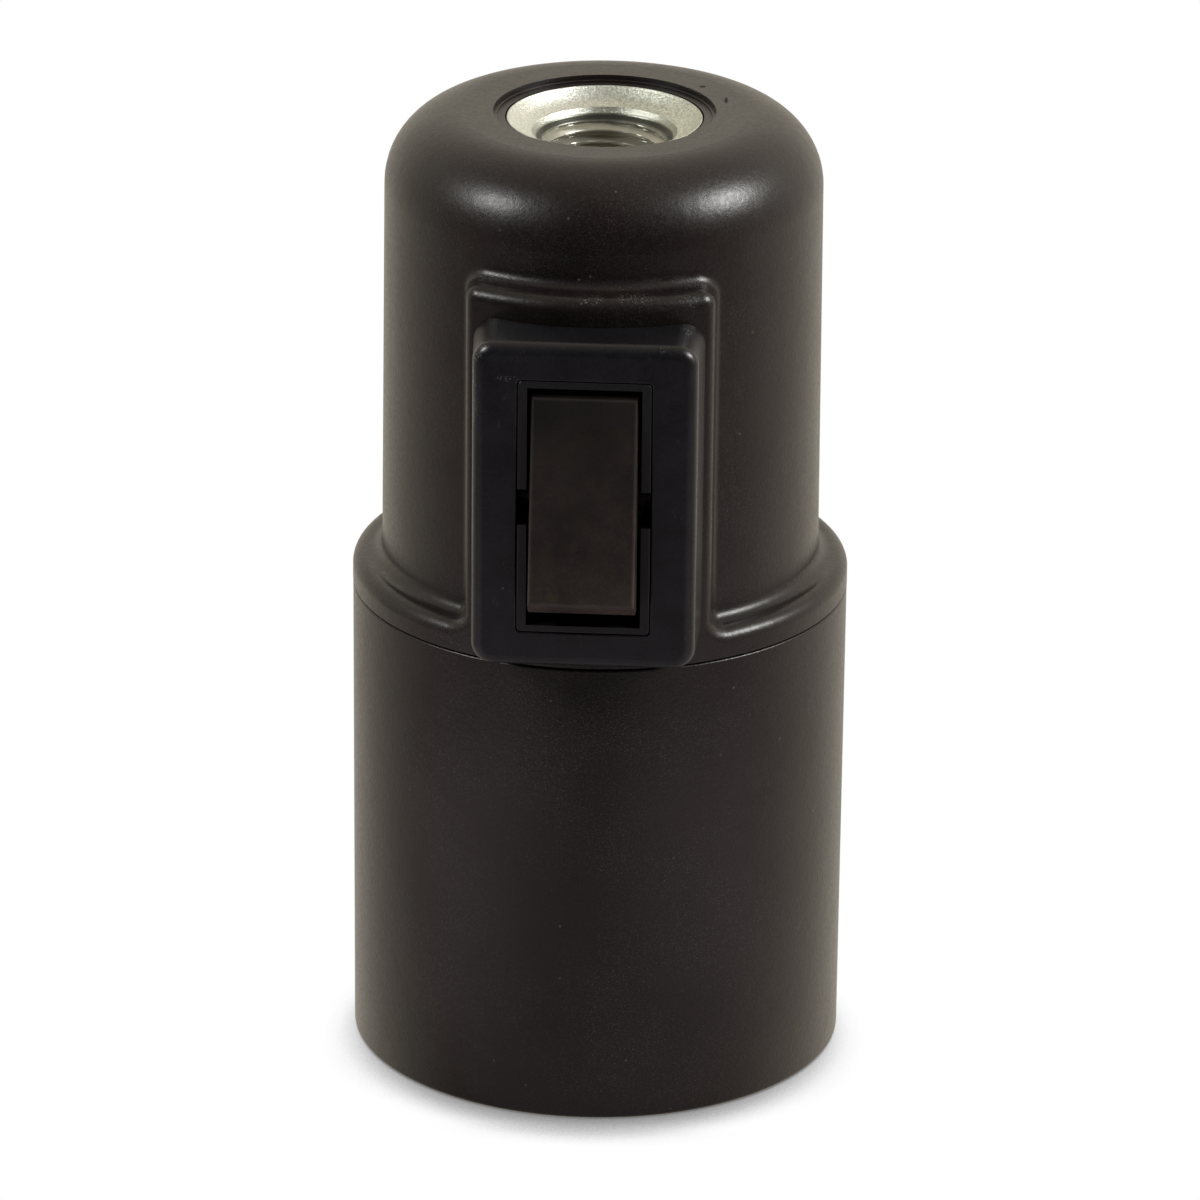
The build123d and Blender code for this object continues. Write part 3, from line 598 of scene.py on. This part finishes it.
def make_rocker_plastic():
    """Warm black rocker, finely spark-eroded, in patches browner and lighter towards its lower end."""
    plain_dark_colour = (0.0036, 0.0029, 0.0032)
    dark_warm = (0.0165, 0.0105, 0.0096)
    light_warm = (0.0235, 0.0150, 0.0118)
    blotch_colour = (0.0260, 0.0170, 0.0100)
    grain_colour = (0.036, 0.028, 0.024)
    blotch_band = (0.50, 0.62)
    grain_band = (0.52, 0.70)
    surface = Surface("rocker_plastic", tint=(1.0, 0.94, 0.97))
    grain = surface.noise(size=0.18 * mm, detail=4, roughness=0.7)
    cloud = surface.noise(size=2.6 * mm, detail=5, roughness=0.7)
    patchiness = surface.noise(size=5 * mm)
    low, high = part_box("rocker")
    # Lighter and warmer towards the lower end, in patches
    lower_end_ramp = surface.ramp(surface.axis_value("Z"), (low.z, high.z), out=(1, 0.2))
    warm = surface.tone(cloud, inner_band, dark_warm, light_warm)
    blotches = surface.noise(size=1.1 * mm, detail=3)
    browned = surface.tone(blotches, blotch_band, warm, blotch_colour)
    fine_grain = surface.noise(size=0.16 * mm, detail=3, roughness=0.8)
    grained = surface.tone(fine_grain, grain_band, browned, grain_colour)
    warm_share = surface.math("MULTIPLY", lower_end_ramp, surface.ramp(patchiness, band=(0.3, 0.6), out=(0.2, 1)))
    surface.colour(surface.mix(warm_share, plain_dark_colour, grained))
    surface.roughness(surface.ramp(cloud, noise_band, out=(0.39, 0.45)))
    surface.bump(grain, depth=0.010 * mm)
    return surface.material


def make_cast_zinc():
    """Bright cast zinc: a finely pitted dish, lighter on its left with a painted highlight and darker at
    its throat with painted shade, and a duller bore with a painted shadow under its lip and painted light
    on its thread further down.
    """
    pitted_band = (0.35, 0.62)
    dish_edge = (bush_bore_radius - 0.02 * mm, bush_bore_radius + 0.12 * mm)
    lit_side = (-4 * mm, 1 * mm)
    throat_shade_band = (bush_throat_radius - 0.1 * mm, bush_throat_radius)
    lip_shadow_band = (bush_lip_z - 0.5 * mm, bush_lip_z - 0.25 * mm)
    lit_thread_band = (bush_lip_z - 1.2 * mm, bush_lip_z - 0.7 * mm)
    dark_grey, light_grey = (0.42, 0.43, 0.37), (0.84, 0.87, 0.78)
    dark_lit, light_lit = (0.62, 0.66, 0.60), (1.0, 1.0, 0.96)
    dark_turned, light_turned = (0.26, 0.26, 0.22), (0.38, 0.37, 0.31)
    throat_shade_colour = (0.36, 0.36, 0.30)
    lip_shadow_colour = (0.06, 0.06, 0.05)
    lit_thread_colour = (0.55, 0.53, 0.46)
    dish_roughness = 0.03
    surface = Surface("cast_zinc", metallic=1.0)
    pits = surface.noise(size=0.2 * mm, detail=4, roughness=0.7)
    patches = surface.noise(size=1.2 * mm)
    dish = surface.ramp(surface.radius(), dish_edge)
    grey = surface.tone(pits, pitted_band, dark_grey, light_grey)
    lit_dish = surface.tone(pits, pitted_band, dark_lit, light_lit)
    # Left side of the dish lighter: a painted highlight
    sides = surface.mix(surface.ramp(surface.axis_value("X"), lit_side, out=(1, 0)), grey, lit_dish)
    # Darker ring where the dish meets the throat: painted shade
    throat_shade = surface.ramp(surface.radius(), throat_shade_band, out=(0.65, 0))
    cast = surface.mix(throat_shade, sides, throat_shade_colour)
    height = surface.axis_value("Z")
    turned = surface.tone(patches, noise_band, dark_turned, light_turned)
    # Dark band just under the lip: a painted shadow
    lip_shaded = surface.tone(height, lip_shadow_band, turned, lip_shadow_colour)
    # Lighter thread lower in the bore: painted light
    threaded = surface.mix(surface.ramp(height, lit_thread_band, out=(1, 0)), lip_shaded, lit_thread_colour)
    surface.colour(surface.mix(dish, threaded, cast))
    surface.metallic(surface.ramp(dish, band=(0, 1), out=(0.8, 1)))
    polish = surface.ramp(patches, noise_band, out=(0.28, 0.36))
    rougher_dish = surface.math("MULTIPLY", dish, dish_roughness)
    surface.roughness(surface.math("ADD", polish, rougher_dish))
    relief = surface.math("MULTIPLY", pits, surface.ramp(dish, band=(0, 1), out=(0.15, 1)))
    surface.bump(relief, depth=0.05 * mm)
    return surface.material


def make_metal(name, dark, light, polish):
    """A plain metal with a mottled tint and uneven polish."""
    surface = Surface(name, metallic=1.0)
    grain = surface.noise(size=0.5 * mm, detail=3)
    surface.colour(surface.tone(grain, noise_band, dark, light))
    surface.roughness(surface.ramp(grain, noise_band, out=polish))
    surface.bump(grain, depth=0.002 * mm)
    return surface.material


def make_steatite():
    """Pale pressed ceramic, matt and faintly grainy."""
    dark_body = (0.62, 0.58, 0.50)
    light_body = (0.78, 0.75, 0.68)
    surface = Surface("steatite")
    grain = surface.noise(size=0.4 * mm, detail=3)
    surface.colour(surface.mix(grain, dark_body, light_body))
    surface.roughness(surface.ramp(grain, noise_band, out=(0.45, 0.6)))
    surface.bump(grain, depth=0.01 * mm)
    return surface.material


def make_materials():
    """One material for each material slot of the record."""
    made = {
        "thermoset": make_thermoset(),
        "bezel_plastic": make_bezel_plastic(),
        "switch_plastic": make_switch_plastic(),
        "rocker_plastic": make_rocker_plastic(),
        "cast_zinc": make_cast_zinc(),
        "steatite": make_steatite(),
    }
    for name, (dark, light, polish) in metals.items():
        made[name] = make_metal(name, dark, light, polish)
    return made


def add_piece(name, vertices, faces, body, slot):
    """A smooth mesh that rides on a body and takes its finish from one of the record's slots."""
    mesh = bpy.data.meshes.new(name)
    mesh.from_pydata(vertices, [], faces)
    mesh.validate()
    skin = bmesh.new()
    skin.from_mesh(mesh)
    bmesh.ops.recalc_face_normals(skin, faces=skin.faces)
    skin.to_mesh(mesh)
    skin.free()
    mesh.update()
    mesh.polygons.foreach_set("use_smooth", [True] * len(mesh.polygons))
    mesh.set_sharp_from_angle(angle=corner_angle)
    piece = bpy.data.objects.new(name, mesh)
    bpy.context.scene.collection.objects.link(piece)
    mesh.materials.append(materials[slot])
    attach(piece, body)
    return piece


def ring_faces(rings, around, closed=True):
    """Quads between rings of points; a closed section joins its last ring to its first."""
    faces = []
    for i in range(rings if closed else rings - 1):
        for j in range(around):
            a, b = i * around + j, i * around + (j + 1) % around
            c, d = (i + 1) % rings * around + (j + 1) % around, (i + 1) % rings * around + j
            faces.append((a, b, c, d))
    return faces


def add_spun_piece(name, profile, around, body, slot):
    """A piece from a closed section spun round Z; a radius may depend on the angle and the height."""
    vertices = []
    for radius, z in profile:
        for j in range(around):
            angle = 2 * math.pi * j / around
            reach = radius(angle, z) if callable(radius) else radius
            vertices.append((reach * math.cos(angle), reach * math.sin(angle), z))
    return add_piece(name, vertices, ring_faces(len(profile), around), body, slot)


def fade(distance, length):
    """Grows from 0 to 1 over a length, and stays at 0 before it and at 1 after it."""
    return min(1.0, max(0.0, distance / length))


def thread_radius(angle, z, pitch, crest, root, start_z):
    """Radius of a right-handed internal 60-degree thread with flat crests, at an angle and height."""
    phase = ((z - start_z) / pitch - angle / (2 * math.pi)) % 1.0
    slope = abs(2 * phase - 1)
    return root + (crest - root) * fade(slope - thread_flat, 1 - 2 * thread_flat)


def dish_point(t):
    """A point of the dish's section, from its rim (0) to its throat (1), with the turned rings."""
    start_radius = bush_rim_radius - bush_edge
    drop = (bush_throat_z - rim_z) * math.sin(t * math.pi / 2)
    near_edge = max(0.0, abs(2 * t - 1) - (1 - dish_ring_zone)) / dish_ring_zone
    ripple = dish_ring_height * near_edge * math.sin(t * dish_ring_swings * math.pi)
    return start_radius + (bush_throat_radius - start_radius) * t, rim_z + drop + ripple


def make_bush():
    """The cast bush: dished flange with turned rings, a small step, a lead-in and a real thread."""
    lead_in = (bush_bore_radius - thread_mouth_radius) / (bush_lip_z - thread_mouth_z)

    def bore(angle, z):
        wall = thread_radius(angle, z, tube_pitch, tube_minor_radius, tube_major_radius, bush_end_z)
        return max(wall, thread_mouth_radius + (z - thread_mouth_z) * lead_in)

    profile = [dish_point(i / dish_steps) for i in range(dish_steps + 1)]
    profile += [(bush_throat_radius + out, bush_throat_z + up) for out, up in throat_corners]
    profile += [(bush_bore_radius + out, bush_lip_z + up) for out, up in lip_corners]
    z = bush_lip_z
    while z > bush_end_z + bore_end_gap:
        profile.append((bore, z))
        z -= seen_step if z > rim_z - seen_depth else deep_step
    profile += [
        (tube_major_radius, bush_end_z),
        (bush_body_radius, bush_end_z),
        (bush_body_radius, rim_z - bush_seat_drop),
        (bush_rim_radius, rim_z - bush_seat_drop),
        (bush_rim_radius, rim_z - bush_edge),
        (bush_rim_radius - bush_corner_cut, rim_z - bush_corner_cut),
    ]
    bush = add_spun_piece("threaded_bush", profile, bush_around, "cap_unit", "cast_zinc")
    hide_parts("entry_bush")


def make_recess_ring():
    """The small step round the edge of the recess that the bush sits in."""
    profile = [
        (ring_inner_radius, rim_z - ring_sunk),
        (ring_outer_radius, rim_z - ring_sunk),
        (ring_outer_radius, rim_z + ring_height),
        (ring_inner_radius + ring_edge, rim_z + ring_height),
        (ring_inner_radius, rim_z + ring_height - ring_edge),
    ]
    add_spun_piece("recess_ring", profile, bush_around, "cap_unit", "thermoset")


def ridge(angle, z, low, high, phase):
    """How far the coarse thread's rounded ridge stands out, fading at its two ends."""
    turn = z / coarse_pitch - angle / (2 * math.pi) + phase
    ends = min(fade(z - low, coarse_fade), fade(high - z, coarse_fade))
    return ridge_height * ends * max(0.0, math.cos(2 * math.pi * turn)) ** 2


def rounded_corner(centre_radius, centre_z, radius, start):
    """Points of a quarter round in a section, from a starting angle in degrees, turning clockwise."""
    points = []
    for i in range(corner_steps + 1):
        angle = math.radians(start - 90 * i / corner_steps)
        points.append((centre_radius + radius * math.cos(angle), centre_z + radius * math.sin(angle)))
    return points


def make_skirt():
    """The skirt with softly rounded rims and the coarse thread in its bore."""
    top_corner = (skirt_radius - skirt_top_round, skirt_top - skirt_top_round)
    rim_corner = (skirt_radius - skirt_draft - skirt_rim_round, skirt_rim_round)

    def bore(angle, z):
        return skirt_bore_radius - ridge(angle, z, skirt_thread_low, skirt_thread_high, skirt_thread_phase)

    profile = rounded_corner(*top_corner, skirt_top_round, start=90)
    profile += rounded_corner(*rim_corner, skirt_rim_round, start=0)
    profile += [
        (mouth_radius, 0),
        (mouth_radius, mouth_depth),
        (skirt_inner_radius, mouth_depth),
        (skirt_inner_radius, ledge_bottom),
        (ledge_radius, ledge_bottom),
        (ledge_radius, ledge_top),
        (skirt_bore_radius, ledge_top),
    ]
    for i in range(1, coarse_rows + 1):
        profile.append((bore, ledge_top + (skirt_top - ledge_top) * i / coarse_rows))
    skirt = add_spun_piece("threaded_skirt", profile, skirt_around, "skirt", "thermoset")
    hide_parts("skirt")


def make_spigot_thread():
    """The coarse thread's ridge round the cap's spigot."""
    low, high = spigot_thread_low, spigot_thread_high
    inner_radius = spigot_radius - spigot_thread_wall

    def wall(angle, z):
        return spigot_radius - spigot_thread_sunk + ridge(angle, z, low, high, spigot_thread_phase)

    profile = [(wall, low + (high - low) * i / coarse_rows) for i in range(coarse_rows + 1)]
    profile += [(inner_radius, high), (inner_radius, low)]
    add_spun_piece("spigot_thread", profile, skirt_around, "cap_unit", "thermoset")


def make_shell():
    """The lamp's screw shell, rolled from thin sheet."""
    mouth_z, top_z = shell_low.z, shell_high.z
    middle = (shell_minor_radius + shell_major_radius) / 2
    swing = (shell_major_radius - shell_minor_radius) / 2
    thread_end = mouth_z + shell_thread_length

    def wall(thickness):
        def radius(angle, z):
            phase = (z - mouth_z) / shell_pitch - angle / (2 * math.pi)
            near_mouth = fade(z - mouth_z - shell_plain_rim, shell_fade_in)
            near_end = fade(thread_end - z, shell_fade_out)
            return middle + thickness + swing * math.cos(2 * math.pi * phase) * min(near_mouth, near_end)
        return radius

    heights = [mouth_z + shell_thread_length * i / shell_rows for i in range(shell_rows + 1)]
    profile = [(wall(0), z) for z in heights]
    profile += [
        (shell_floor_radius + shell_corner, top_z - shell_neck_drop),
        (shell_floor_radius, top_z - shell_corner),
        (shell_hole_radius, top_z - shell_corner),
        (shell_hole_radius, top_z - shell_top_gap),
        (shell_floor_radius + shell_corner, top_z - shell_top_gap),
        (shell_floor_radius + shell_corner + shell_wall, top_z - shell_corner),
    ]
    profile += [(wall(shell_wall), z) for z in reversed(heights)]
    shell = add_spun_piece("rolled_shell", profile, shell_around, "core_unit", "shell_metal")
    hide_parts("screw_shell")


def make_contact_spring():
    """A round-wire coil with its end turns laid flat."""
    coil_radius = spring_high.x - spring_wire
    low, high = spring_low.z + spring_wire, spring_high.z - spring_wire
    rising_turns = spring_turns - 2 * spring_flat_turns
    vertices = []
    for i in range(spring_steps + 1):
        turns = spring_turns * i / spring_steps
        angle = 2 * math.pi * turns
        rise = fade(turns - spring_flat_turns, rising_turns)
        for j in range(spring_sides):
            across = 2 * math.pi * j / spring_sides
            reach = coil_radius + spring_wire * math.cos(across)
            z = low + (high - low) * rise + spring_wire * math.sin(across)
            vertices.append((reach * math.cos(angle), reach * math.sin(angle), z))
    faces = ring_faces(spring_steps + 1, spring_sides, closed=False)
    first_end = tuple(range(spring_sides))
    last_end = tuple(spring_steps * spring_sides + j for j in reversed(range(spring_sides)))
    faces += [first_end, last_end]
    coil = add_piece("coiled_contact_spring", vertices, faces, "core_unit", "plated_steel")
    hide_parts("contact_spring")
    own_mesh(coil)


materials = make_materials()
make_camera()
make_world()
make_floor()
make_card()
for softbox in softboxes:
    add_softbox(*softbox)
bpy.context.scene.view_settings.view_transform = "Standard"

for part in frame["record"]["subparts"]:
    node = nodes[part["node"]]
    node.data.materials.clear()
    node.data.materials.append(materials[part["material_slot"]])

make_bush()
make_recess_ring()
make_skirt()
make_spigot_thread()
make_shell()
make_contact_spring()
